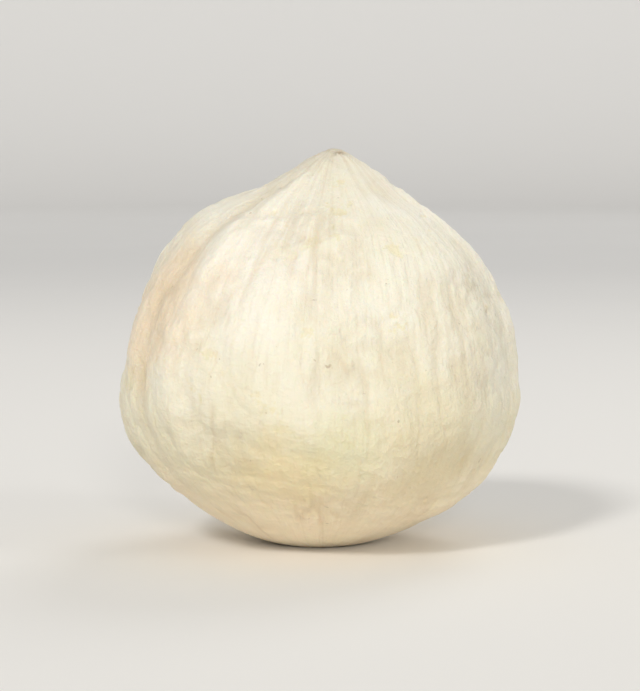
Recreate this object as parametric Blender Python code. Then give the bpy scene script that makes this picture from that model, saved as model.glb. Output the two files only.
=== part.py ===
"""Shelled moringa seed kernel, standing tip up on a small flat spot.

The kernel is one solid. Its body is nearly a ball, lower and a little leaner underneath, with
a short blunt tip on top. Three blunt ridges run down from the tip, with flattened faces between
them. A shallow seam beside one ridge, and its other half across the kernel, mark where the two
seed leaves meet. Swells, dents, low lumps and a soft net of wrinkles cover the rest.

The surface is one formula: each direction from the middle of the body has its own radius.
Metres, +Z up, with the origin on the ground under the middle of the kernel.
"""

import math
import random

import bmesh
import bpy
from mathutils import Vector

NAME = "kernel"
MM = 0.001

# Driving dimensions of the body, in millimetres
MIDDLE_HEIGHT = 3.1
BODY_RADIUS = 4.13
CROWN_RISE = 4.22
BASE_DROP = 3.2
TIP_RISE = 0.68
TIP_LEAN = Vector((0.30, -0.06, 0.0))

# Shape of the body and its tip: powers of the outline, the tip's half angle, depth over width
UPPER_POWER = 2.0
LOWER_POWER = 1.82
TIP_SPREAD = math.radians(13.0)
TIP_POWER = 1.6
DEPTH_SHARE = 0.95

# Flattened faces: azimuth and elevation in degrees, distance from the middle in millimetres
FACES = (
    (-71.0, 17.0, 3.86),
    (49.0, 15.0, 3.84),
    (169.0, 12.0, 3.94),
)
FACE_ROUNDING = 0.95
LEAST_FACING = 0.1

# Lines down from the tip: azimuths in degrees, heights in millimetres, spreads on a unit ball
RIDGE_AZIMUTHS = (-131.0, -11.0, 109.0)
RIDGE_RISE = 0.11
RIDGE_SPREAD = 0.085
SEAM_AZIMUTHS = (-146.0, 34.0)
SEAM_DEPTH = 0.085
SEAM_SPREAD = 0.06
LINE_WANDER = 0.035
LINE_WANDER_RATE = 4.5
LINE_START = (0.05, 0.26)
LINE_END = (-0.75, 0.15)

# Swells and dents: azimuth and elevation in degrees, reach on a unit ball, millimetres outwards
SWELLS = (
    (180.0, 58.0, 0.26, 0.12),
    (-47.0, -17.0, 0.26, -0.09),
    (-104.0, -32.0, 0.30, -0.07),
    (-168.0, 20.0, 0.20, -0.05),
    (62.0, 12.0, 0.34, -0.16),
    (136.0, -22.0, 0.30, -0.12),
    (6.0, 54.0, 0.40, -0.15),
    (100.0, -48.0, 0.26, -0.07),
)

# Waves for the lumps and the net of wrinkles: rates on a unit ball, heights in millimetres
SEED = 24
LUMP_COUNT = 8
LUMP_RATES = (2.2, 5.2)
LUMP_HEIGHT = 0.042
WRINKLE_COUNT = 6
WRINKLE_RATES = (9.0, 14.0)
WRINKLE_DEPTH = 0.022
WRINKLE_MEAN = 0.76
BEND_COUNT = 2
BEND_REACH = 0.10
TIP_CALM = (0.80, 0.97)
BASE_CALM = (0.50, 0.96)

# Mesh and finish
CELLS_PER_SIDE = 28
COLOUR = (0.80, 0.69, 0.47, 1.0)
ROUGHNESS = 0.62


def clear_scene():
    """Remove every object that is already in the scene."""
    for item in list(bpy.data.objects):
        bpy.data.objects.remove(item, do_unlink=True)


def towards(azimuth, elevation=0.0):
    """Unit vector at an azimuth and an elevation in degrees."""
    turn = math.radians(azimuth)
    lift = math.radians(elevation)
    level = math.cos(lift)
    return Vector((math.cos(turn) * level, math.sin(turn) * level, math.sin(lift)))


def smooth_step(low, high, value):
    """Rise gently from 0 at low to 1 at high."""
    share = min(max((value - low) / (high - low), 0.0), 1.0)
    return share * share * (3.0 - 2.0 * share)


def smooth_min(first, second, reach):
    """Smaller of two values, rounded where they are closer than the reach."""
    share = max(reach - abs(first - second), 0.0) / reach
    return min(first, second) - share ** 3 * reach / 6.0


def body_radius(way):
    """Radius of the plain body, an ellipsoid above its middle and a leaner one below."""
    rise, power = (CROWN_RISE, UPPER_POWER) if way.z > 0.0 else (BASE_DROP, LOWER_POWER)
    level = math.hypot(way.x, way.y) / BODY_RADIUS
    return (level ** power + (abs(way.z) / rise) ** power) ** (-1.0 / power)


def flattened(radius, way):
    """The radius after each face has shaved the body, with rounded edges."""
    for azimuth, elevation, distance in FACES:
        facing = way.dot(towards(azimuth, elevation))
        if facing > LEAST_FACING:
            radius = smooth_min(radius, distance / facing, FACE_ROUNDING)
    return radius


def tip_height(way):
    """Height that the blunt tip adds round the upright axis."""
    apart = math.acos(min(max(way.z, -1.0), 1.0))
    return TIP_RISE * math.exp(-(apart / TIP_SPREAD) ** TIP_POWER)


def line_strength(way, azimuth, spread):
    """Strength from 0 to 1 of a line that runs down from the tip at an azimuth."""
    course = towards(azimuth)
    ahead = way.dot(course)
    across = way.x * course.y - way.y * course.x
    across += LINE_WANDER * math.sin(LINE_WANDER_RATE * way.z + math.radians(azimuth))
    strength = math.exp(-(across / spread) ** 2)
    return strength * smooth_step(*LINE_START, ahead) * smooth_step(*LINE_END, way.z)


def line_height(way):
    """Height of the ridges less the depth of the seam."""
    ridges = sum(line_strength(way, azimuth, RIDGE_SPREAD) for azimuth in RIDGE_AZIMUTHS)
    seams = sum(line_strength(way, azimuth, SEAM_SPREAD) for azimuth in SEAM_AZIMUTHS)
    return RIDGE_RISE * ridges - SEAM_DEPTH * seams


def swell_height(way):
    """Height of the swells less the depth of the dents."""
    height = 0.0
    for azimuth, elevation, reach, rise in SWELLS:
        apart = (way - towards(azimuth, elevation)).length
        height += rise * math.exp(-(apart / reach) ** 2)
    return height


def make_waves(draw, count, rates):
    """Waves in random directions: each is a vector of its rate, and a phase."""
    waves = []
    for _ in range(count):
        azimuth = draw.uniform(-180.0, 180.0)
        elevation = math.degrees(math.asin(draw.uniform(-1.0, 1.0)))
        rate = draw.uniform(*rates)
        waves.append((towards(azimuth, elevation) * rate, draw.uniform(0.0, 2.0 * math.pi)))
    return waves


def wave_sum(waves, place):
    """Sum of the sines of the waves at a place."""
    return sum(math.sin(rate.dot(place) + phase) for rate, phase in waves)


def wrinkle_sum(waves, place):
    """Sum of sharp creases, each where a wave's sine crosses nought."""
    return sum(WRINKLE_MEAN - math.sqrt(abs(math.sin(rate.dot(place) + phase)))
               for rate, phase in waves)


class Surface:
    """The kernel's surface, a point for each direction, with its waves drawn once."""

    def __init__(self):
        draw = random.Random(SEED)
        self.lumps = make_waves(draw, LUMP_COUNT, LUMP_RATES)
        self.wrinkles = make_waves(draw, WRINKLE_COUNT, WRINKLE_RATES)
        self.bends = [make_waves(draw, BEND_COUNT, LUMP_RATES) for _ in range(3)]

    def relief(self, way):
        """Height of the lumps and wrinkles, calm at the tip and at the flat spot."""
        bent = way + BEND_REACH * Vector([wave_sum(waves, way) for waves in self.bends])
        height = LUMP_HEIGHT * wave_sum(self.lumps, way)
        height -= WRINKLE_DEPTH * wrinkle_sum(self.wrinkles, bent)
        calm = max(smooth_step(*TIP_CALM, way.z), smooth_step(*BASE_CALM, -way.z))
        return height * (1.0 - calm)

    def radius(self, way):
        """Distance of the surface from the middle of the body, in millimetres."""
        plain = flattened(body_radius(way), way) + tip_height(way)
        return plain + line_height(way) + swell_height(way) + self.relief(way)

    def point(self, way):
        """Place of the surface in metres, leaning at the tip and cut flat underneath."""
        place = way * self.radius(way)
        place.y *= DEPTH_SHARE
        place += TIP_LEAN * max(place.z / (CROWN_RISE + TIP_RISE), 0.0) ** 2
        place.z = max(place.z + MIDDLE_HEIGHT, 0.0)
        return place * MM


def even_way(corner):
    """Direction of a point of the cube, spread so that all cells come out alike in size."""
    return Vector([math.tan(value * math.pi / 4.0) for value in corner]).normalized()


def centre_on_origin(bm):
    """Move the mesh so that the middle of its box stands over the origin."""
    for axis in (0, 1):
        values = [vert.co[axis] for vert in bm.verts]
        middle = (min(values) + max(values)) / 2.0
        for vert in bm.verts:
            vert.co[axis] -= middle


def kernel_mesh():
    """Cube of even cells, pushed out to the kernel's surface."""
    surface = Surface()
    bm = bmesh.new()
    bmesh.ops.create_cube(bm, size=2.0)
    bmesh.ops.subdivide_edges(bm, edges=bm.edges[:], cuts=CELLS_PER_SIDE - 1, use_grid_fill=True)
    for vert in bm.verts:
        vert.co = surface.point(even_way(vert.co))
    centre_on_origin(bm)
    mesh = bpy.data.meshes.new(NAME)
    bm.to_mesh(mesh)
    bm.free()
    mesh.shade_smooth()
    return mesh


def kernel_material():
    """Matt cream flesh."""
    material = bpy.data.materials.new("cream_flesh")
    material.use_nodes = True
    shader = material.node_tree.nodes["Principled BSDF"]
    shader.inputs["Base Color"].default_value = COLOUR
    shader.inputs["Roughness"].default_value = ROUGHNESS
    shader.inputs["Metallic"].default_value = 0.0
    return material


def main():
    """Build the kernel in a collection of its own."""
    clear_scene()
    collection = bpy.data.collections.new("moringa_seed_kernel")
    bpy.context.scene.collection.children.link(collection)
    kernel = bpy.data.objects.new(NAME, kernel_mesh())
    kernel.data.materials.append(kernel_material())
    collection.objects.link(kernel)


main()
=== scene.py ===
"""Looks of a shelled moringa seed kernel, one natural piece that rests tip up on a pale floor.

The kernel's form follows the rule of its solid: each direction from the middle of the body has its
own radius. A Geometry Nodes tree works that rule out on a fine mesh, adds the low relief of the
thin inner skin, and leaves the direction and a few masks on the mesh for the material. The rule
counts in millimetres, and the finished mesh is in metres.
"""

import logging
import math
import operator
import random
from dataclasses import dataclass
from enum import Enum
from functools import reduce
from typing import Any, Union

import bpy
from mathutils import Color, Matrix, Vector

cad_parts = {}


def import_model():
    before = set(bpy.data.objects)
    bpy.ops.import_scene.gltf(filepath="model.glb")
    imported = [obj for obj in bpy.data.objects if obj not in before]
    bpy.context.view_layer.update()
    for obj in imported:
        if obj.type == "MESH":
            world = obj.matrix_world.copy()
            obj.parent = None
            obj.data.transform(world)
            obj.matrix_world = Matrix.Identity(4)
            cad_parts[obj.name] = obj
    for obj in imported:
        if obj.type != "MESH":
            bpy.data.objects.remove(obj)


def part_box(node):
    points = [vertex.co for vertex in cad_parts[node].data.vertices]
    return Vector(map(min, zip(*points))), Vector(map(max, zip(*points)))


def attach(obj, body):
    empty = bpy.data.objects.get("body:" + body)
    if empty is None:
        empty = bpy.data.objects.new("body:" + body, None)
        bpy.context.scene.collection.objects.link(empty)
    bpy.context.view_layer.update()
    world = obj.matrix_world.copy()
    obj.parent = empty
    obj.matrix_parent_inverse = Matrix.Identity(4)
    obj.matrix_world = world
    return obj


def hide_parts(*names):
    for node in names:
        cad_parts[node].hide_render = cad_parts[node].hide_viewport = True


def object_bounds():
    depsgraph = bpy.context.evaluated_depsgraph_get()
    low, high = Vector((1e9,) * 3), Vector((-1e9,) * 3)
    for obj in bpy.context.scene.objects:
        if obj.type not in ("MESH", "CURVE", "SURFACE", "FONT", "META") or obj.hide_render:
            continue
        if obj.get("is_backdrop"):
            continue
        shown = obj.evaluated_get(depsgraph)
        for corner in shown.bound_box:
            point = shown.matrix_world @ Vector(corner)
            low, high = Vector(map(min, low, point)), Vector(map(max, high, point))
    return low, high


MM = 0.001
PER_METRE = 1000.0
BRIGHTEST = 255.0
NOISE_MIDDLE = 0.5
LOG = logging.getLogger("kernel")

Colour = tuple[float, float, float, float]
Triple = tuple[float, float, float]
Span = tuple[float, float]
Operand = Union[float, str, tuple, Vector, "Value"]


def srgb(red: int, green: int, blue: int) -> Colour:
    """Colour as a shader takes it, from display values of 0 to 255."""
    shown = Color((red / BRIGHTEST, green / BRIGHTEST, blue / BRIGHTEST))
    return (*shown.from_srgb_to_scene_linear(), 1.0)


def towards(azimuth: float, elevation: float = 0.0) -> Vector:
    """Unit vector at degrees round from +X, counter-clockwise from above, and degrees upwards."""
    turn, lift = math.radians(azimuth), math.radians(elevation)
    return Vector((math.cos(turn) * math.cos(lift), math.sin(turn) * math.cos(lift), math.sin(lift)))


def add_object(name: str, data: bpy.types.ID) -> bpy.types.Object:
    """Put a new object into the scene.

    Args:
        name: The object's name.
        data: Its mesh, lamp or camera.

    Returns:
        The object, at the origin.
    """
    item = bpy.data.objects.new(name, data)
    bpy.context.scene.collection.objects.link(item)
    return item


def hang(data: bpy.types.ID, place: Vector, facing: Vector) -> bpy.types.Object:
    """Hang a lamp or the camera in the scene.

    Args:
        data: The lamp or camera.
        place: Where it hangs, in metres.
        facing: The direction that it points in.

    Returns:
        Its object.
    """
    holder = add_object(data.name, data)
    holder.location = place
    holder.rotation_euler = facing.to_track_quat("-Z", "Y").to_euler()
    return holder


class TreeKind(Enum):
    """The two kinds of node tree that are drawn up here."""

    GEOMETRY = "GeometryNodeTree"
    SHADER = "ShaderNodeTree"


class Kind(Enum):
    """Kinds of named input and output of a node tree."""

    NUMBER = "NodeSocketFloat"
    COUNT = "NodeSocketInt"
    VECTOR = "NodeSocketVector"
    GEOMETRY = "NodeSocketGeometry"
    MATERIAL = "NodeSocketMaterial"


class Mark(Enum):
    """What the form leaves on the mesh for the material: the way out, and masks from 0 to 1."""

    WAY = "way"
    RIDGE = "ridge"
    SEAM = "seam"
    PIT = "pit"


def put(tree: bpy.types.NodeTree, kind: str, feeds: dict[int | str, Operand] | None = None,
        output: int | str = 0, **settings: Any) -> "Value":
    """Put a node into a tree.

    Args:
        tree: The tree that takes the node.
        kind: Blender's name for the kind of node.
        feeds: What goes into each input, by the input's name or number.
        output: Name or number of the output that is wanted.
        settings: Values of the node's own properties.

    Returns:
        That output.
    """
    node = tree.nodes.new(kind)
    for name, value in settings.items():
        setattr(node, name, value)
    for key, value in (feeds or {}).items():
        feed(tree, node.inputs[key], value)
    return Value(tree, node.outputs[output])


def feed(tree: bpy.types.NodeTree, slot: bpy.types.NodeSocket, value: Operand) -> None:
    """Give an input a fixed value or another node's output.

    Args:
        tree: The tree that both belong to.
        slot: The input.
        value: A number, a name, a vector, a colour or a Value of the tree.
    """
    if isinstance(value, Value):
        tree.links.new(value.socket, slot)
    else:
        slot.default_value = value


@dataclass(frozen=True)
class Value:
    """What one node puts out, with the arithmetic that adds further nodes to the tree.

    Attributes:
        tree: The tree that the node belongs to.
        socket: The node's output.
    """

    tree: bpy.types.NodeTree
    socket: bpy.types.NodeSocket

    def number(self, operation: str, *others: Operand) -> "Value":
        """Number that a Math node makes of this number and the others."""
        return put(self.tree, "ShaderNodeMath", dict(enumerate((self, *others))), operation=operation)

    def vector(self, operation: str, *others: Operand, output: str = "Vector") -> "Value":
        """Output that a Vector Math node makes of this vector and the others."""
        return put(self.tree, "ShaderNodeVectorMath", dict(enumerate((self, *others))), output,
                   operation=operation)

    def is_vector(self) -> bool:
        """Whether this is a vector and not a number."""
        return self.socket.type in {"VECTOR", "RGBA"}

    def __add__(self, other: Operand) -> "Value":
        """Sum of two numbers or two vectors."""
        return (self.vector if self.is_vector() else self.number)("ADD", other)

    def __sub__(self, other: Operand) -> "Value":
        """Difference of two numbers or two vectors."""
        return (self.vector if self.is_vector() else self.number)("SUBTRACT", other)

    def __rsub__(self, whole: float) -> "Value":
        """What is left of a whole once this number is taken away."""
        return put(self.tree, "ShaderNodeMath", {0: whole, 1: self}, operation="SUBTRACT")

    def __neg__(self) -> "Value":
        """This number with its sign turned."""
        return self * -1.0

    def __mul__(self, other: Operand) -> "Value":
        """Product of two numbers."""
        return self.number("MULTIPLY", other)

    def __truediv__(self, other: Operand) -> "Value":
        """Quotient of two numbers."""
        return self.number("DIVIDE", other)

    def __rtruediv__(self, whole: float) -> "Value":
        """A whole divided by this number."""
        return put(self.tree, "ShaderNodeMath", {0: whole, 1: self}, operation="DIVIDE")

    def __pow__(self, other: Operand) -> "Value":
        """This number raised to a power."""
        return self.number("POWER", other)

    def at_least(self, floor: Operand) -> "Value":
        """This number, or the floor where it is lower."""
        return self.number("MAXIMUM", floor)

    def magnitude(self) -> "Value":
        """This number without its sign."""
        return self.number("ABSOLUTE")

    def root(self) -> "Value":
        """Square root of this number."""
        return self.number("SQRT")

    def sine(self) -> "Value":
        """Sine of this number of radians."""
        return self.number("SINE")

    def bell(self, spread: Operand) -> "Value":
        """Bell curve that is 1 where this number is 0."""
        share = self / spread
        return (-(share * share)).number("EXPONENT")

    def rise(self, low: Operand, high: Operand, start: Operand = 0.0, end: Operand = 1.0) -> "Value":
        """Gentle step from start, where this number is low, to end, where it is high."""
        feeds = {"Value": self, "From Min": low, "From Max": high, "To Min": start, "To Max": end}
        return put(self.tree, "ShaderNodeMapRange", feeds, interpolation_type="SMOOTHSTEP")

    def fall(self, low: Operand, high: Operand, start: Operand = 1.0) -> "Value":
        """Gentle step from start, where this number is low, down to 0, where it is high."""
        return self.rise(low, high, start, 0.0)

    def dot(self, other: Operand) -> "Value":
        """Dot product of two vectors."""
        return self.vector("DOT_PRODUCT", other, output="Value")

    def length(self) -> "Value":
        """Length of this vector."""
        return self.vector("LENGTH", output="Value")

    def scaled(self, factor: Operand) -> "Value":
        """This vector times a number."""
        return put(self.tree, "ShaderNodeVectorMath", {0: self, "Scale": factor}, "Vector",
                   operation="SCALE")

    def parts(self) -> tuple["Value", "Value", "Value"]:
        """The X, Y and Z of this vector."""
        first = put(self.tree, "ShaderNodeSeparateXYZ", {0: self})
        return tuple(Value(self.tree, output) for output in first.socket.node.outputs)

    def noise(self, rate: Operand, detail: float = 2.0, roughness: float = 0.5) -> "Value":
        """Cloudy noise from 0 to 1 at this place."""
        feeds = {"Vector": self, "Scale": rate, "Detail": detail, "Roughness": roughness}
        return put(self.tree, "ShaderNodeTexNoise", feeds)

    def warped(self, rate: float, reach: float) -> "Value":
        """This place pushed about by cloudy noise, so that what is drawn on it bends."""
        push = put(self.tree, "ShaderNodeTexNoise", {"Vector": self, "Scale": rate}, "Color")
        return self + (push - (NOISE_MIDDLE,) * 3).scaled(reach)

    def cell_edge(self, rate: Operand) -> "Value":
        """Distance of this place from the nearest edge of a net of uneven cells."""
        return put(self.tree, "ShaderNodeTexVoronoi", {"Vector": self, "Scale": rate}, "Distance",
                   feature="DISTANCE_TO_EDGE")


def total(values: list[Value]) -> Value:
    """Sum of several values of one tree."""
    return reduce(operator.add, values)


def join(x: Value, y: Value, z: Value) -> Value:
    """Vector made of three numbers of one tree."""
    return put(x.tree, "ShaderNodeCombineXYZ", {"X": x, "Y": y, "Z": z})


def mix(share: Value, first: Operand, second: Operand) -> Value:
    """Colour with a share, from 0 to 1, of the second colour laid over the first."""
    # The node has several inputs of one name, so its colour ones go by number
    return put(share.tree, "ShaderNodeMix", {0: share, 6: first, 7: second}, 2, data_type="RGBA")


def dress(material: bpy.types.Material, feeds: dict[str, Operand]) -> None:
    """Give a material's shader its values and patterns.

    Args:
        material: The material, which has its nodes already.
        feeds: What goes into each input of the shader, by the input's name.
    """
    tree = material.node_tree
    for name, value in feeds.items():
        feed(tree, tree.nodes["Principled BSDF"].inputs[name], value)


class Plan:
    """A node group being drawn up, with named inputs and outputs."""

    def __init__(self, name: str, kind: TreeKind = TreeKind.GEOMETRY) -> None:
        """Start an empty group.

        Args:
            name: The group's name.
            kind: Whether it makes geometry or feeds a shader.
        """
        self.kind = kind
        self.tree = bpy.data.node_groups.new(name, kind.value)
        self.entry = self.tree.nodes.new("NodeGroupInput")
        self.exit = self.tree.nodes.new("NodeGroupOutput")

    def takes(self, name: str, kind: Kind = Kind.NUMBER, start: Any = None) -> Value:
        """Add a named input.

        Args:
            name: The input's name.
            kind: What it takes.
            start: Its value until another is given.

        Returns:
            The input, to be used inside the group.
        """
        item = self.tree.interface.new_socket(name=name, in_out="INPUT", socket_type=kind.value)
        if start is not None:
            item.default_value = start
        return Value(self.tree, self.entry.outputs[name])

    def gives(self, name: str, value: Value, kind: Kind = Kind.NUMBER) -> "Plan":
        """Add a named output.

        Args:
            name: The output's name.
            value: What it puts out.
            kind: What kind that is.

        Returns:
            The group itself.
        """
        self.tree.interface.new_socket(name=name, in_out="OUTPUT", socket_type=kind.value)
        feed(self.tree, self.exit.inputs[name], value)
        return self

    def use(self, tree: bpy.types.NodeTree, feeds: dict[str, Operand]) -> Value:
        """Put the group into another tree, with its inputs' feeds, and take what it puts out."""
        kind = "GeometryNodeGroup" if self.kind is TreeKind.GEOMETRY else "ShaderNodeGroup"
        return put(tree, kind, feeds, node_tree=self.tree)


@dataclass(frozen=True)
class Clouds:
    """Mask from cloudy noise: its rate, where it sets in and is full, its detail and roughness."""

    rate: float
    low: float
    high: float
    detail: float = 2.0
    roughness: float = 0.5

    def mask(self, place: Value) -> Value:
        """Mask from 0 to 1 at a place."""
        return place.noise(self.rate, self.detail, self.roughness).rise(self.low, self.high)


@dataclass(frozen=True)
class FlatFace:
    """A side that is flatter than the body: degrees, and millimetres from the middle."""

    azimuth: float
    elevation: float
    distance: float


@dataclass(frozen=True)
class Swell:
    """A soft swell, or a dent where its height is below nought: degrees, ball radii, millimetres."""

    azimuth: float
    elevation: float
    reach: float
    height: float


@dataclass(frozen=True)
class TipLines:
    """Ridges that run down from the tip, or seams where their height is below nought.

    Attributes:
        azimuths: Where they run down, in degrees.
        height: How far they stand out, in millimetres.
        spread: Half their width, in ball radii.
    """

    azimuths: tuple[float, ...]
    height: float
    spread: float


@dataclass(frozen=True)
class SineWave:
    """One wave over the ball: a direction times its rate, and a phase in radians."""

    rate: Vector
    phase: float


@dataclass(frozen=True)
class WaveSet:
    """The waves behind the lumps and the wrinkles, drawn in a fixed order from one seed."""

    seed: int = 24
    lump_count: int = 8
    wrinkle_count: int = 6
    bend_count: int = 2
    lump_rates: Span = (2.2, 5.2)
    wrinkle_rates: Span = (9.0, 14.0)

    def draw(self) -> tuple[list[SineWave], list[SineWave], list[list[SineWave]]]:
        """Draw the waves.

        Returns:
            The lumps' waves, the wrinkles' waves, and the bends' waves for X, Y and Z.
        """
        source = random.Random(self.seed)
        lumps = self.several(source, self.lump_count, self.lump_rates)
        wrinkles = self.several(source, self.wrinkle_count, self.wrinkle_rates)
        bends = [self.several(source, self.bend_count, self.lump_rates) for _ in range(3)]
        return lumps, wrinkles, bends

    @staticmethod
    def several(source: random.Random, count: int, rates: Span) -> list[SineWave]:
        """Draw some waves in random directions.

        Args:
            source: Where the random numbers come from.
            count: How many waves are drawn.
            rates: The lowest and the highest rate.

        Returns:
            The waves.
        """
        waves = []
        for _ in range(count):
            azimuth = source.uniform(-180.0, 180.0)
            elevation = math.degrees(math.asin(source.uniform(-1.0, 1.0)))
            rate = source.uniform(*rates)
            phase = source.uniform(0.0, 2.0 * math.pi)
            waves.append(SineWave(towards(azimuth, elevation) * rate, phase))
        return waves


@dataclass(frozen=True)
class InnerSkin:
    """Low relief of the thin inner skin that covers the seed leaves.

    Heights and depths are in millimetres, places and distances in ball radii, and rates in repeats
    to a ball radius. A width is in the pattern's own measure, a bend is the rate and the reach by
    which the pattern is pushed about, and a fade is where it comes in. A noise is a rate and a
    detail. A keep is the share of the ball's height that a pattern keeps, so that it runs lengthwise.
    """

    # Skin that is still whole, over rubbed flesh
    skin_height: float = 0.016
    skin_bend: Span = (6.0, 0.14)
    skin_patches: Clouds = Clouds(2.9, 0.375, 0.405, 5.0, 0.60)
    # Net of furrows
    net_rate: float = 6.0
    net_depth: float = 0.042
    net_width: float = 0.34
    net_bend: Span = (4.0, 0.16)
    net_fade: Clouds = Clouds(2.3, 0.44, 0.64)
    # Creases of crumpled skin, fine grooves and finest lines, which all run down from the tip
    course_bend: Span = (1.5, 0.12)
    axis_gap: float = 0.05
    crinkle_noise: Span = (2.8, 3.0)
    crinkle_keep: float = 0.30
    crinkle_depth: float = 0.026
    crinkle_width: float = 0.06
    crinkle_fade: Clouds = Clouds(2.2, 0.40, 0.62, 1.0)
    streak_rate: float = 16.0
    streak_keep: float = 0.10
    streak_depth: float = 0.038
    streak_end: Span = (-0.5, 0.3)
    fibre_rate: float = 44.0
    fibre_keep: float = 0.16
    # Finest grain
    grain_noise: Span = (30.0, 3.0)
    grain_height: float = 0.036
    # Scattered pits: least distance apart, most to a square ball radius, radii and ragged edge
    pit_depth: float = 0.030
    pit_gap: float = 0.24
    pit_density: float = 4.0
    pit_reach: Span = (0.02, 0.055)
    pit_rag_rate: float = 14.0
    pit_rag: Span = (0.6, 1.4)
    pit_seed: int = 5

    def pits(self, ball: Value, place: Value, seed: Value) -> Value:
        """Mask of small round pits scattered over the ball.

        Args:
            ball: The geometry of the unit ball.
            place: Each point's place on the ball.
            seed: Seed of the pits' places.

        Returns:
            The mask, 1 in the middle of a pit.
        """
        tree = place.tree
        points = put(tree, "GeometryNodeDistributePointsOnFaces",
                     {"Mesh": ball, "Distance Min": self.pit_gap, "Density Max": self.pit_density,
                      "Seed": seed}, "Points", distribute_method="POISSON")
        around = {"Geometry": points, "Sample Position": place}
        distance = put(tree, "GeometryNodeProximity", around, "Distance", target_element="POINTS")
        nearest = put(tree, "GeometryNodeSampleNearest", around, "Index")
        # The numbers are those of the node's inputs and output for single numbers
        size = put(tree, "FunctionNodeRandomValue", {2: self.pit_reach[0], 3: self.pit_reach[1]}, 1)
        reach = put(tree, "GeometryNodeSampleIndex",
                    {"Geometry": points, "Value": size, "Index": nearest})
        ragged = distance * place.noise(self.pit_rag_rate).rise(0.0, 1.0, *self.pit_rag)
        return ragged.fall(0.0, reach)

    def whole_skin(self, place: Value) -> Value:
        """Mask of the skin that is still whole, 0 where it is rubbed off."""
        return self.skin_patches.mask(place.warped(*self.skin_bend))

    def furrows(self, place: Value) -> Value:
        """Mask of the net's furrows, which fade in and out over the surface."""
        edges = place.warped(*self.net_bend).cell_edge(self.net_rate).fall(0.0, self.net_width)
        return edges * self.net_fade.mask(place)

    def crinkles(self, place: Value) -> Value:
        """Mask of thin creases that wander down from the tip."""
        folds = self.lengthwise(place, self.crinkle_keep).noise(*self.crinkle_noise)
        return ((folds - NOISE_MIDDLE).magnitude().fall(0.0, self.crinkle_width)
                * self.crinkle_fade.mask(place))

    def streaks(self, place: Value) -> Value:
        """Fine grooves from the tip downwards, from 0 to 1."""
        grooves = self.lengthwise(place, self.streak_keep).noise(self.streak_rate)
        return grooves * place.parts()[2].rise(*self.streak_end)

    def fibres(self, place: Value) -> Value:
        """Finest lines of the skin, from 0 to 1, which run down from the tip too."""
        return self.lengthwise(place, self.fibre_keep).noise(self.fibre_rate)

    def lengthwise(self, place: Value, keep: float) -> Value:
        """Place as patterns that run down from the tip need it.

        Args:
            place: Each point's place on the ball.
            keep: Share of the height that the pattern keeps.

        Returns:
            The place spread round the upright axis, and pressed together along it.
        """
        x, y, z = place.parts()
        level = (x * x + y * y).root().at_least(self.axis_gap)
        return join(x / level, y / level, z * keep).warped(*self.course_bend)

    def relief(self, plan: Plan, place: Value, pits: Value) -> Value:
        """Height of the skin's whole relief.

        Args:
            plan: The tree, which takes the heights and depths as named inputs.
            place: Each point's place on the ball.
            pits: Mask of the pits.

        Returns:
            The height in millimetres.
        """
        grain = place.noise(*self.grain_noise) - NOISE_MIDDLE
        return (self.whole_skin(place) * plan.takes("Skin Height", start=self.skin_height)
                - self.furrows(place) * plan.takes("Net Depth", start=self.net_depth)
                - self.crinkles(place) * plan.takes("Crinkle Depth", start=self.crinkle_depth)
                - self.streaks(place) * plan.takes("Streak Depth", start=self.streak_depth)
                + grain * plan.takes("Grain Height", start=self.grain_height)
                - pits * plan.takes("Pit Depth", start=self.pit_depth))


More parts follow.
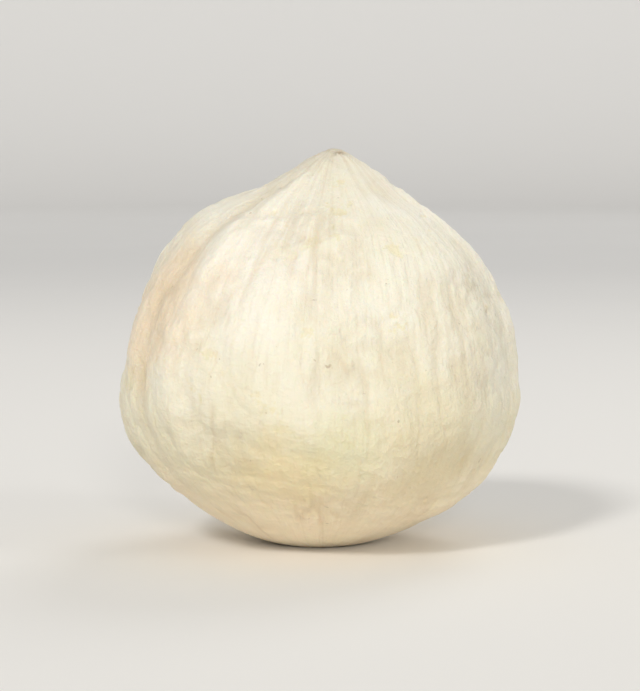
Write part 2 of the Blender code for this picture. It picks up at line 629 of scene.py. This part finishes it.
@dataclass(frozen=True)
class KernelForm:
    """The kernel's form as a Geometry Nodes tree, sized in millimetres like its solid.

    What happens round the ball counts in ball radii: spreads, reaches, how far lines wander, and
    the places between which a line starts and ends, or the relief grows calm.
    """

    # Body, with the powers of its outline, and the blunt tip, with its half angle in radians
    middle_height: float = 3.1
    body_radius: float = 4.13
    crown_rise: float = 4.22
    base_drop: float = 3.2
    upper_power: float = 2.0
    lower_power: float = 1.82
    depth_share: float = 0.95
    tip_rise: float = 0.68
    tip_lean: Triple = (0.30, -0.06, 0.0)
    tip_spread: float = math.radians(13.0)
    tip_power: float = 1.6
    # Flattened faces, and the least cosine of the angle at which one still shaves the body
    faces: tuple[FlatFace, ...] = (
        FlatFace(-71.0, 17.0, 3.86),
        FlatFace(49.0, 15.0, 3.84),
        FlatFace(169.0, 12.0, 3.94),
    )
    face_rounding: float = 0.95
    least_facing: float = 0.1
    # Ridges and the two halves of the seam
    ridges: TipLines = TipLines((-131.0, -11.0, 109.0), 0.11, 0.085)
    seams: TipLines = TipLines((-146.0, 34.0), -0.085, 0.06)
    line_wander: float = 0.035
    line_wander_rate: float = 4.5
    line_start: Span = (0.05, 0.26)
    line_end: Span = (-0.75, 0.15)
    # Swells and dents
    swells: tuple[Swell, ...] = (
        Swell(180.0, 58.0, 0.26, 0.12),
        Swell(-47.0, -17.0, 0.26, -0.09),
        Swell(-104.0, -32.0, 0.30, -0.07),
        Swell(-168.0, 20.0, 0.20, -0.05),
        Swell(62.0, 12.0, 0.34, -0.16),
        Swell(136.0, -22.0, 0.30, -0.12),
        Swell(6.0, 54.0, 0.40, -0.15),
        Swell(100.0, -48.0, 0.26, -0.07),
    )
    # Lumps and the soft net of wrinkles, calm at the tip and at the flat spot
    waves: WaveSet = WaveSet()
    lump_height: float = 0.042
    wrinkle_depth: float = 0.022
    wrinkle_mean: float = 0.76
    bend_reach: float = 0.10
    tip_calm: Span = (0.80, 0.97)
    base_calm: Span = (0.50, 0.96)
    # Fine surface, and mesh points along each side of the cube that becomes the kernel
    skin: InnerSkin = InnerSkin()
    points_per_side: int = 129

    def shave_group(self) -> Plan:
        """Draw up the flattening of one side of the body, with rounded edges.

        Returns:
            The group, which puts out the new radius.
        """
        plan = Plan("Flat Face")
        radius = plan.takes("Radius")
        facing = plan.takes("Way", Kind.VECTOR).dot(plan.takes("Towards", Kind.VECTOR))
        reached = plan.takes("Distance") / facing.at_least(self.least_facing)
        return plan.gives("Radius", radius.number("SMOOTH_MIN", reached, self.face_rounding))

    def line_group(self) -> Plan:
        """Draw up one ridge or seam.

        Returns:
            The group, which puts out the line's strength from 0 to 1.
        """
        plan = Plan("Line From Tip")
        x, y, z = plan.takes("Way", Kind.VECTOR).parts()
        turn = plan.takes("Turn")
        sine, cosine = turn.sine(), turn.number("COSINE")
        ahead = x * cosine + y * sine
        sway = (z * self.line_wander_rate + turn).sine() * self.line_wander
        across = (x * sine - y * cosine + sway).bell(plan.takes("Spread"))
        return plan.gives("Strength", across * ahead.rise(*self.line_start) * z.rise(*self.line_end))

    @staticmethod
    def swell_group() -> Plan:
        """Draw up one swell or dent.

        Returns:
            The group, which puts out its height.
        """
        plan = Plan("Swell")
        apart = (plan.takes("Way", Kind.VECTOR) - plan.takes("Towards", Kind.VECTOR)).length()
        return plan.gives("Height", apart.bell(plan.takes("Reach")) * plan.takes("Height"))

    @staticmethod
    def wave_group() -> Plan:
        """Draw up one wave.

        Returns:
            The group, which puts out the wave's sine.
        """
        plan = Plan("Wave")
        along = plan.takes("Place", Kind.VECTOR).dot(plan.takes("Rate", Kind.VECTOR))
        return plan.gives("Sine", (along + plan.takes("Phase")).sine())

    def body(self, plan: Plan, way: Value) -> Value:
        """Radius of the plain body, an ellipsoid above its middle and a leaner one below.

        Args:
            plan: The tree, which takes the main sizes as named inputs.
            way: Direction of each point from the middle.

        Returns:
            The radius in millimetres.
        """
        x, y, z = way.parts()
        level = (x * x + y * y).root() / plan.takes("Body Radius", start=self.body_radius)
        height = z.magnitude()
        halves = []
        for name, reach, power in (("Crown Rise", self.crown_rise, self.upper_power),
                                   ("Base Drop", self.base_drop, self.lower_power)):
            share = height / plan.takes(name, start=reach)
            halves.append((level ** power + share ** power) ** (-1.0 / power))
        above = z.number("GREATER_THAN", 0.0)
        return halves[0] * above + halves[1] * (1.0 - above)

    def flattened(self, way: Value, radius: Value) -> Value:
        """Radius once each flat face has shaved the body.

        Args:
            way: Direction of each point from the middle.
            radius: Radius of the plain body, in millimetres.

        Returns:
            The new radius.
        """
        group = self.shave_group()
        for face in self.faces:
            radius = group.use(way.tree, {"Radius": radius, "Way": way, "Distance": face.distance,
                                          "Towards": towards(face.azimuth, face.elevation)})
        return radius

    def tip(self, plan: Plan, way: Value) -> Value:
        """Height that the blunt tip adds, from the tree's named input."""
        apart = (way.parts()[2].number("ARCCOSINE") / self.tip_spread) ** self.tip_power
        return (-apart).number("EXPONENT") * plan.takes("Tip Rise", start=self.tip_rise)

    @staticmethod
    def strength(way: Value, group: Plan, lines: TipLines) -> Value:
        """Strength from 0 to 1 of several ridges or seams, which lie well apart."""
        return total([group.use(way.tree, {"Way": way, "Spread": lines.spread,
                                           "Turn": math.radians(azimuth)})
                      for azimuth in lines.azimuths])

    def swelling(self, way: Value) -> Value:
        """Height of all the swells less the depth of the dents, in millimetres."""
        group = self.swell_group()
        return total([group.use(way.tree, {"Way": way, "Reach": swell.reach, "Height": swell.height,
                                           "Towards": towards(swell.azimuth, swell.elevation)})
                      for swell in self.swells])

    def waving(self, way: Value, calm: Value) -> Value:
        """Height of the lumps and the wrinkles, in millimetres.

        Args:
            way: Direction of each point from the middle.
            calm: Share of the relief that is left at each point.

        Returns:
            The height.
        """
        group = self.wave_group()
        lumps, wrinkles, bends = self.waves.draw()

        def sines(waves: list[SineWave], place: Value) -> list[Value]:
            """Sines of some waves at a place."""
            return [group.use(way.tree, {"Place": place, "Rate": wave.rate, "Phase": wave.phase})
                    for wave in waves]

        bent = way + join(*(total(sines(waves, way)) for waves in bends)).scaled(self.bend_reach)
        creases = total([sine.magnitude().root() for sine in sines(wrinkles, bent)])
        even = creases - self.wrinkle_mean * len(wrinkles)
        return (total(sines(lumps, way)) * self.lump_height + even * self.wrinkle_depth) * calm

    def standing(self, plan: Plan, way: Value, radius: Value) -> Value:
        """Place of each point in metres, leaning at the tip and cut flat underneath.

        Args:
            plan: The tree, which takes the middle's height as a named input.
            way: Direction of each point from the middle.
            radius: Distance of each point from the middle, in millimetres.

        Returns:
            The place.
        """
        place = way.scaled(radius).vector("MULTIPLY", (1.0, self.depth_share, 1.0))
        share = (place.parts()[2] / (self.crown_rise + self.tip_rise)).at_least(0.0)
        lean = put(way.tree, "ShaderNodeVectorMath", {0: self.tip_lean, "Scale": share * share},
                   "Vector", operation="SCALE")
        x, y, z = (place + lean).parts()
        middle = plan.takes("Middle Height", start=self.middle_height)
        return join(x, y, (z + middle).at_least(0.0)).scaled(MM)

    def ball(self, plan: Plan, position: Value) -> Value:
        """Unit ball made of a cube, spread so that all cells come out alike in size.

        Args:
            plan: The tree, which takes the count of points as a named input.
            position: Each point's place on the geometry at hand.

        Returns:
            The ball.
        """
        count = plan.takes("Points Per Side", Kind.COUNT, self.points_per_side)
        sides = {f"Vertices {axis}": count for axis in "XYZ"}
        cube = put(plan.tree, "GeometryNodeMeshCube", {"Size": (2.0, 2.0, 2.0), **sides}, "Mesh")
        angles = [part * (math.pi / 4.0) for part in position.parts()]
        even = join(*(angle.number("TANGENT") for angle in angles)).vector("NORMALIZE")
        return put(plan.tree, "GeometryNodeSetPosition", {"Geometry": cube, "Position": even})

    @staticmethod
    def marked(geometry: Value, marks: dict[Mark, Value]) -> Value:
        """Geometry with what the material needs left on its points.

        Args:
            geometry: The geometry.
            marks: What is left under each mark's name.

        Returns:
            The geometry with its marks.
        """
        for mark, value in marks.items():
            kind = "FLOAT_VECTOR" if value.is_vector() else "FLOAT"
            geometry = put(geometry.tree, "GeometryNodeStoreNamedAttribute",
                           {"Geometry": geometry, "Name": mark.value, "Value": value}, data_type=kind)
        return geometry

    def tree(self) -> Plan:
        """Draw up the whole tree.

        Returns:
            The tree, whose named inputs are the kernel's main sizes, its seed and its material.
        """
        plan = Plan("Kernel Form")
        way = put(plan.tree, "GeometryNodeInputPosition")
        ball = self.ball(plan, way)
        z = way.parts()[2]
        grounded = (-z).rise(*self.base_calm)
        calm = 1.0 - z.rise(*self.tip_calm).at_least(grounded)
        line = self.line_group()
        ridge, seam = (self.strength(way, line, lines) for lines in (self.ridges, self.seams))
        plain = self.flattened(way, self.body(plan, way)) + self.tip(plan, way)
        coarse = (plain + ridge * self.ridges.height + seam * self.seams.height
                  + self.swelling(way) + self.waving(way, calm))
        pits = self.skin.pits(ball, way, plan.takes("Pit Seed", Kind.COUNT, self.skin.pit_seed))
        radius = coarse + self.skin.relief(plan, way, pits) * (1.0 - grounded)

        marks = {Mark.WAY: way, Mark.RIDGE: ridge, Mark.SEAM: seam, Mark.PIT: pits}
        shape = put(plan.tree, "GeometryNodeSetPosition",
                    {"Geometry": self.marked(ball, marks),
                     "Position": self.standing(plan, way, radius)})
        for kind in ("GeometryNodeSetShadeSmooth", "GeometryNodeRealizeInstances"):
            shape = put(plan.tree, kind, {"Geometry": shape})
        dressed = put(plan.tree, "GeometryNodeSetMaterial",
                      {"Geometry": shape, "Material": plan.takes("Material", Kind.MATERIAL)})
        return plan.gives("Geometry", dressed, Kind.GEOMETRY)

    def mesh(self, name: str, material: bpy.types.Material) -> bpy.types.Mesh:
        """Work the form out as a plain mesh.

        Args:
            name: The mesh's name.
            material: What its faces are made of.

        Returns:
            The mesh, in metres, round the vertical axis through the body's middle.
        """
        carrier = add_object(name + "_carrier", bpy.data.meshes.new(name + "_start"))
        modifier = carrier.modifiers.new("form", "NODES")
        modifier.node_group = self.tree().tree
        given = {"Points Per Side": self.points_per_side, "Middle Height": self.middle_height,
                 "Pit Seed": self.skin.pit_seed, "Material": material}
        for item in modifier.node_group.interface.items_tree:
            if item.in_out == "INPUT" and item.name in given:
                modifier[item.identifier] = given[item.name]
        graph = bpy.context.evaluated_depsgraph_get()
        mesh = bpy.data.meshes.new_from_object(carrier.evaluated_get(graph))
        mesh.name = name
        bpy.data.objects.remove(carrier)
        return mesh


@dataclass(frozen=True)
class TintPatch:
    """A soft patch of another tint: its middle and reach in millimetres, and how ragged it is."""

    middle: Triple
    reach: float
    ragged: float
    tint: Colour
    share: float


class FleshPatterns:
    """What the flesh's colours follow: the place in millimetres, the form's marks and the skin."""

    def __init__(self, tree: bpy.types.NodeTree, skin: InnerSkin) -> None:
        """Read the place and the marks, and draw the skin's patterns once more.

        Args:
            tree: The material's tree.
            skin: The inner skin, whose relief and colours go together.
        """
        self.tree = tree
        place = put(tree, "ShaderNodeTexCoord", output="Object")
        self.place = put(tree, "ShaderNodeMapping", {"Vector": place, "Scale": (PER_METRE,) * 3})
        self.height = self.place.parts()[2]
        self.ridge, self.seam, self.pit = map(self.mark, (Mark.RIDGE, Mark.SEAM, Mark.PIT))
        way = self.mark(Mark.WAY)
        self.whole = skin.whole_skin(way)
        self.folds = skin.crinkles(way)
        self.net = skin.furrows(way)
        self.streaks = skin.streaks(way)
        self.fibres = skin.fibres(way)

    def mark(self, mark: Mark) -> Value:
        """What the form left on the mesh under a mark's name."""
        output = "Vector" if mark is Mark.WAY else "Fac"
        return put(self.tree, "ShaderNodeAttribute", output=output, attribute_name=mark.value)


@dataclass(frozen=True)
class FleshFinish:
    """Cream flesh under a thin matt skin, with soft stains, painted highlights and painted shade,
    painted shade in the creases and a few specks.

    A share is the most of a colour that is laid on, and a span is the two values between which its
    pattern fades. Places, heights and reaches are in millimetres and rates in repeats to one, but a
    patch's rate is to its own reach. The bump's depth and the subsurface scale are in metres.
    """

    # Ground: whole skin, rubbed flesh, mottle, painted shade that makes the lower side darker and
    # warmer, and painted bounce light at the very bottom
    skin_colour: Colour = srgb(240, 236, 219)
    flesh_colour: Colour = srgb(237, 230, 201)
    mottle_colour: Colour = srgb(228, 216, 178)
    cloud: Clouds = Clouds(0.7, 0.35, 0.70, 4.0, 0.6)
    cloud_share: float = 0.30
    fleck: Clouds = Clouds(2.6, 0.50, 0.75, 4.0, 0.6)
    fleck_share: float = 0.10
    uneven_rate: float = 0.5
    uneven_reach: float = 2.4
    # Painted shade: the lower side darker and warmer, as if lit from above
    low_shade_colour: Colour = srgb(219, 207, 165)
    low_shade_span: Span = (1.2, 5.0)
    low_shade_share: float = 0.65
    # Painted bounce light: paler again at the very bottom
    base_bounce_colour: Colour = srgb(255, 237, 206)
    base_bounce_span: Span = (0.4, 2.6)
    # Painted shade in grooves, fibres, creases and the seam, the net adding its share to the creases'
    # mask, and painted highlights on the ridges
    crease_shade_colour: Colour = srgb(186, 158, 112)
    streak_span: Span = (0.45, 0.75)
    streak_share: float = 0.10
    fibre_span: Span = (0.45, 0.80)
    fibre_share: float = 0.12
    net_share: float = 0.6
    fold_share: float = 0.26
    seam_share: float = 0.22
    ridge_highlight_colour: Colour = srgb(252, 246, 230)
    ridge_highlight_span: Span = (2.5, 5.5)
    ridge_highlight_share: float = 0.45
    # Dark pits and specks
    speck_colour: Colour = srgb(142, 110, 74)
    pit_span: Span = (0.0, 0.5)
    pit_share: float = 0.75
    crumb: Clouds = Clouds(4.2, 0.725, 0.78, 2.0, 0.6)
    crumb_bend: Span = (3.0, 0.3)
    crumb_share: float = 0.40
    # Stains, a painted highlight and painted shade, laid on as soft patches with ragged edges
    stains_and_painted_light: tuple[TintPatch, ...] = (
        # Painted highlight: pale patch on the upper front left
        TintPatch((-1.3, -2.7, 5.6), 1.9, 0.9, srgb(248, 243, 231), 0.55),
        # Painted shade: a darker, warmer peach patch on the upper left flank
        TintPatch((-3.1, -1.9, 5.0), 2.1, 0.9, srgb(240, 210, 172), 0.50),
        TintPatch((0.4, -3.7, 2.3), 1.2, 1.0, srgb(220, 218, 180), 0.38),
        TintPatch((-0.7, -3.4, 1.7), 1.5, 1.0, srgb(238, 217, 160), 0.40),
        # Painted shade: a small dark smear left of the tip, where the ridge is shaded
        TintPatch((-0.20, -0.95, 7.30), 0.20, 2.2, srgb(150, 130, 100), 0.40),
        TintPatch((3.05, -1.8, 5.4), 0.34, 2.4, srgb(176, 162, 128), 0.35),
        TintPatch((0.3, 0.0, 8.0), 0.60, 0.9, srgb(206, 176, 124), 0.30),
        TintPatch((2.3, -3.0, 1.6), 1.5, 0.9, srgb(208, 186, 140), 0.40),
    )
    patch_rate: float = 2.4
    patch_detail: float = 3.0
    patch_edge: Span = (0.25, 1.0)
    # Shine, fine bumps, and the light that enters the flesh
    roughness: Span = (0.42, 0.60)
    skin_matt: float = 0.7
    cloud_matt: float = 0.3
    matt_noise: Span = (3.0, 3.0)
    pore_noise: Triple = (9.0, 4.0, 0.65)
    dimple_noise: Span = (4.0, 2.0)
    fibre_height: float = 0.5
    bump_depth: float = 0.000035
    subsurface_weight: float = 0.25
    subsurface_radius: Triple = (1.0, 0.62, 0.34)
    subsurface_scale: float = 0.0003
    refraction: float = 1.45
    sheen_weight: float = 0.12
    sheen_roughness: float = 0.5

    def patch_group(self) -> Plan:
        """Draw up one soft patch with a ragged edge.

        Returns:
            The group, which puts out the patch's mask.
        """
        plan = Plan("Soft Patch", TreeKind.SHADER)
        place = plan.takes("Place", Kind.VECTOR)
        reach = plan.takes("Reach")
        apart = (place - plan.takes("Middle", Kind.VECTOR)).length() / reach
        rag = place.noise(self.patch_rate / reach, self.patch_detail) - NOISE_MIDDLE
        return plan.gives("Mask", (apart + rag * plan.takes("Ragged")).fall(*self.patch_edge))

    def ground(self, seen: FleshPatterns, fleck: Value) -> Value:
        """Colour of skin and flesh, with mottle, painted shade towards the bottom, painted bounce
        light at the base, and the patches of stain, painted highlight and painted shade.

        Args:
            seen: What the colours follow.
            fleck: Mask of the finer mottle.

        Returns:
            The colour.
        """
        colour = mix(seen.whole, self.flesh_colour, self.skin_colour)
        colour = mix(self.cloud.mask(seen.place) * self.cloud_share, colour, self.mottle_colour)
        colour = mix(fleck * self.fleck_share, colour, self.mottle_colour)
        uneven = seen.height + (seen.place.noise(self.uneven_rate) - NOISE_MIDDLE) * self.uneven_reach
        # Painted shade, darker and warmer towards the bottom
        colour = mix(uneven.fall(*self.low_shade_span, self.low_shade_share), colour, self.low_shade_colour)
        # Painted bounce light at the very bottom
        colour = mix(uneven.fall(*self.base_bounce_span), colour, self.base_bounce_colour)
        patch = self.patch_group()
        # Stains, and patches of painted highlight and painted shade
        for tinted_patch in self.stains_and_painted_light:
            mask = patch.use(seen.tree, {"Place": seen.place, "Middle": tinted_patch.middle,
                                         "Reach": tinted_patch.reach, "Ragged": tinted_patch.ragged})
            colour = mix(mask * tinted_patch.share, colour, tinted_patch.tint)
        return colour

    def lined(self, seen: FleshPatterns, ground: Value, fleck: Value) -> Value:
        """Colour with painted shade in the creases, painted highlights on the ridges, and specks on
        it.

        Args:
            seen: What the colours follow.
            ground: The colour underneath.
            fleck: Mask of the finer mottle, in which the pits are dark.

        Returns:
            The colour.
        """
        crumbs = self.crumb.mask(seen.place.warped(*self.crumb_bend))
        layers = (
            # Painted shade in the grooves, fibres, creases, net and seam
            (seen.streaks.rise(*self.streak_span), self.streak_share, self.crease_shade_colour),
            (seen.fibres.rise(*self.fibre_span), self.fibre_share, self.crease_shade_colour),
            (seen.folds.at_least(seen.net * self.net_share), self.fold_share, self.crease_shade_colour),
            (seen.seam, self.seam_share, self.crease_shade_colour),
            # Painted highlight along the ridges, towards the top
            (seen.ridge * seen.height.rise(*self.ridge_highlight_span), self.ridge_highlight_share, self.ridge_highlight_colour),
            (seen.pit * fleck.rise(*self.pit_span), self.pit_share, self.speck_colour),
            (crumbs, self.crumb_share, self.speck_colour),
        )
        for mask, share, tint in layers:
            ground = mix(mask * share, ground, tint)
        return ground

    def shine(self, seen: FleshPatterns) -> Value:
        """Roughness, higher on whole skin than on rubbed flesh."""
        matt = seen.whole * self.skin_matt + seen.place.noise(*self.matt_noise) * self.cloud_matt
        return matt.rise(0.0, 1.0, *self.roughness)

    def bumps(self, seen: FleshPatterns) -> Value:
        """Normal with pores, dimples and fibres too fine for the mesh."""
        height = (seen.place.noise(*self.pore_noise) + seen.place.noise(*self.dimple_noise)
                  - seen.fibres * self.fibre_height)
        return put(seen.tree, "ShaderNodeBump",
                   {"Strength": 1.0, "Distance": self.bump_depth, "Height": height})

    def material(self, skin: InnerSkin) -> bpy.types.Material:
        """Make the material.

        Args:
            skin: The inner skin, whose relief and colours go together.

        Returns:
            The material, which reads Object coordinates and what the form left on the mesh.
        """
        material = bpy.data.materials.new("cream_flesh")
        material.use_nodes = True
        seen = FleshPatterns(material.node_tree, skin)
        fleck = self.fleck.mask(seen.place)
        dress(material, {
            "Base Color": self.lined(seen, self.ground(seen, fleck), fleck),
            "Roughness": self.shine(seen),
            "Normal": self.bumps(seen),
            "Subsurface Weight": self.subsurface_weight,
            "Subsurface Radius": self.subsurface_radius,
            "Subsurface Scale": self.subsurface_scale,
            "IOR": self.refraction,
            "Sheen Weight": self.sheen_weight,
            "Sheen Roughness": self.sheen_roughness,
        })
        return material


@dataclass(frozen=True)
class Kernel:
    """The shelled kernel, one piece that stands in for its solid."""

    node: str = "kernel"
    body: str = "root"
    slot: str = "flesh"
    piece_name: str = "kernel_flesh"
    form: KernelForm = KernelForm()
    finish: FleshFinish = FleshFinish()

    def build(self) -> bpy.types.Object:
        """Build and dress the kernel, and put it where its solid stands.

        Returns:
            The finished piece.
        """
        mesh = self.form.mesh(self.piece_name, self.finish.material(self.form.skin))
        mesh.transform(Matrix.Translation(self.offset(mesh)))
        piece = add_object(self.piece_name, mesh)
        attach(piece, self.body)
        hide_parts(self.node)
        return piece

    def offset(self, mesh: bpy.types.Mesh) -> Vector:
        """Level move that brings a mesh's middle over the middle of the solid's box.

        Args:
            mesh: The kernel's mesh.

        Returns:
            The move in metres.
        """
        low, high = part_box(self.node)
        moves = [(low[axis] + high[axis]) / 2.0 - self.middle(mesh, axis) for axis in (0, 1)]
        return Vector((*moves, 0.0))

    @staticmethod
    def middle(mesh: bpy.types.Mesh, axis: int) -> float:
        """Middle of a mesh's box along one axis."""
        values = [vertex.co[axis] for vertex in mesh.vertices]
        return (min(values) + max(values)) / 2.0


@dataclass(frozen=True)
class SoftBox:
    """A soft round light: place, aim and size in metres, and strength in watts."""

    name: str
    place: Vector
    aim: Vector
    size: float
    strength: float

    def hang(self) -> None:
        """Hang the light, turned to what it lights."""
        lamp = bpy.data.lights.new(self.name, "AREA")
        lamp.shape = "DISK"
        lamp.size = self.size
        lamp.energy = self.strength
        hang(lamp, self.place, self.aim - self.place)


@dataclass(frozen=True)
class BroadLight:
    """An even light from far away: degrees, strength in watts to the square metre, and colour."""

    name: str
    azimuth: float
    elevation: float
    softness: float
    strength: float
    colour: Triple = (1.0, 1.0, 1.0)

    def hang(self) -> None:
        """Hang the light, which falls evenly on kernel and floor."""
        lamp = bpy.data.lights.new(self.name, "SUN")
        lamp.energy = self.strength
        lamp.angle = math.radians(self.softness)
        lamp.color = self.colour
        hang(lamp, Vector(), -towards(self.azimuth, self.elevation))


@dataclass(frozen=True)
class FloorFinish:
    """Matt pale floor with a painted pool of light round the kernel, darker further out, and a faint
    unevenness in its shine.
    """

    painted_pool_colour: Colour = srgb(236, 234, 230)
    far_colour: Colour = srgb(204, 203, 201)
    pool_reach: Span = (0.012, 0.110)
    shine_rate: float = 60.0
    shine_span: Span = (0.3, 0.7)
    roughness: Span = (0.70, 0.80)

    def material(self) -> bpy.types.Material:
        """Make the material.

        Returns:
            The material, which reads Object coordinates.
        """
        material = bpy.data.materials.new("pale_floor")
        material.use_nodes = True
        place = put(material.node_tree, "ShaderNodeTexCoord", output="Object")
        # Painted pool of light: the floor paler round the kernel and darker further out
        pool = place.length().rise(*self.pool_reach)
        dress(material, {
            "Base Color": mix(pool, self.painted_pool_colour, self.far_colour),
            "Roughness": place.noise(self.shine_rate).rise(*self.shine_span, *self.roughness),
        })
        return material


@dataclass(frozen=True)
class Studio:
    """Pale floor that curves up into a backdrop all round, soft lights and the camera.

    Lengths are in metres, angles in degrees, the washes' strength in watts and the lens in
    millimetres. The picture's frame is in pixels, the fill share is how much of its width the
    kernel takes, and the clip shares are of the camera's distance.
    """

    # Floor and the cove round it
    floor_radius: float = 0.20
    floor_steps: int = 8
    cove_radius: float = 0.055
    cove_steps: int = 24
    sides: int = 96
    floor_finish: FloorFinish = FloorFinish()
    # Light from all round, soft lights over the cove, and even lights
    ambient: float = 0.43
    ambient_colour: Colour = (1.0, 0.99, 0.97, 1.0)
    wash_count: int = 6
    wash_radius: float = 0.08
    wash_height: float = 0.20
    wash_size: float = 0.10
    wash_strength: float = 0.007
    lights: tuple[BroadLight, ...] = (
        BroadLight("key", -120.0, 38.0, 10.0, 1.22, (1.0, 0.985, 0.965)),
        BroadLight("front", -84.0, 18.0, 10.0, 0.78, (1.0, 0.985, 0.965)),
        BroadLight("fill", -25.0, 22.0, 16.0, 0.40, (1.0, 0.985, 0.94)),
        BroadLight("back", 65.0, 40.0, 24.0, 0.50),
    )
    # Camera
    lens: float = 135.0
    frame_width: int = 640
    frame_height: int = 691
    fill_share: float = 0.62
    elevation: float = 5.0
    clip_shares: Span = (0.02, 40.0)

    def washes(self) -> list[SoftBox]:
        """Plan the soft lights that hang over the floor in a ring and light the cove behind it.

        Returns:
            The lights.
        """
        boxes = []
        for step in range(self.wash_count):
            way = towards(90.0 + 360.0 * step / self.wash_count)
            place = way * self.wash_radius + Vector((0.0, 0.0, self.wash_height))
            aim = way * (self.floor_radius + self.cove_radius)
            boxes.append(SoftBox(f"wash_{step}", place, aim, self.wash_size, self.wash_strength))
        return boxes

    def profile(self) -> list[Span]:
        """Outline of the floor and its cove, from just off the middle outwards.

        Returns:
            Radius and height of each row of points, in metres.
        """
        level = [(self.floor_radius * step / self.floor_steps, 0.0)
                 for step in range(1, self.floor_steps + 1)]
        turns = [math.pi / 2.0 / self.cove_steps * step for step in range(1, self.cove_steps + 1)]
        return level + [(self.floor_radius + self.cove_radius * math.sin(turn),
                         self.cove_radius * (1.0 - math.cos(turn))) for turn in turns]

    def floor(self) -> None:
        """Make the floor with its round cove as one turned surface."""
        profile = self.profile()
        points = [(0.0, 0.0, 0.0)]
        for radius, height in profile:
            for side in range(self.sides):
                angle = 2.0 * math.pi * side / self.sides
                points.append((radius * math.cos(angle), radius * math.sin(angle), height))
        faces = [(0, 1 + side, 1 + (side + 1) % self.sides) for side in range(self.sides)]
        for row in range(len(profile) - 1):
            inner = 1 + row * self.sides
            outer = inner + self.sides
            for side in range(self.sides):
                after = (side + 1) % self.sides
                faces.append((inner + side, outer + side, outer + after, inner + after))
        mesh = bpy.data.meshes.new("floor")
        mesh.from_pydata(points, [], faces)
        mesh.shade_smooth()
        mesh.materials.append(self.floor_finish.material())
        floor = add_object("floor", mesh)
        floor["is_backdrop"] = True

    def world(self) -> None:
        """Make the even light that comes from all round, and show colours as they are."""
        world = bpy.data.worlds.new("soft_room")
        world.use_nodes = True
        background = world.node_tree.nodes["Background"]
        background.inputs["Color"].default_value = self.ambient_colour
        background.inputs["Strength"].default_value = self.ambient
        bpy.context.scene.world = world
        bpy.context.scene.view_settings.view_transform = "Standard"

    def camera(self, low: Vector, high: Vector) -> None:
        """Set the camera in front of the kernel, so that it fills its share of the frame.

        Args:
            low: Lowest corner of the kernel's box.
            high: Highest corner of the kernel's box.
        """
        data = bpy.data.cameras.new("camera")
        data.lens = self.lens
        view_width = (high.x - low.x) / self.fill_share
        sensor_width = data.sensor_width * self.frame_width / self.frame_height
        distance = view_width * self.lens / sensor_width
        data.clip_start, data.clip_end = (distance * share for share in self.clip_shares)
        back = towards(-90.0, self.elevation)
        bpy.context.scene.camera = hang(data, (low + high) / 2.0 + back * distance, -back)

    def build(self, low: Vector, high: Vector) -> None:
        """Set up floor, lights, world and camera.

        Args:
            low: Lowest corner of the kernel's box.
            high: Highest corner of the kernel's box.
        """
        self.floor()
        for light in (*self.lights, *self.washes()):
            light.hang()
        self.world()
        self.camera(low, high)


def main() -> None:
    """Load the frame, build the studio and the kernel, and log how many lights and triangles there
    are.
    """
    logging.basicConfig(level=logging.INFO)
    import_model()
    solid_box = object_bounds()
    studio = Studio()
    studio.build(*solid_box)
    LOG.info("studio: floor, %d lights and camera", len(studio.lights) + studio.wash_count)
    piece = Kernel().build()
    triangles = sum(len(face.vertices) - 2 for face in piece.data.polygons)
    LOG.info("%s: %d triangles", piece.name, triangles)


if __name__ == "__main__":
    main()
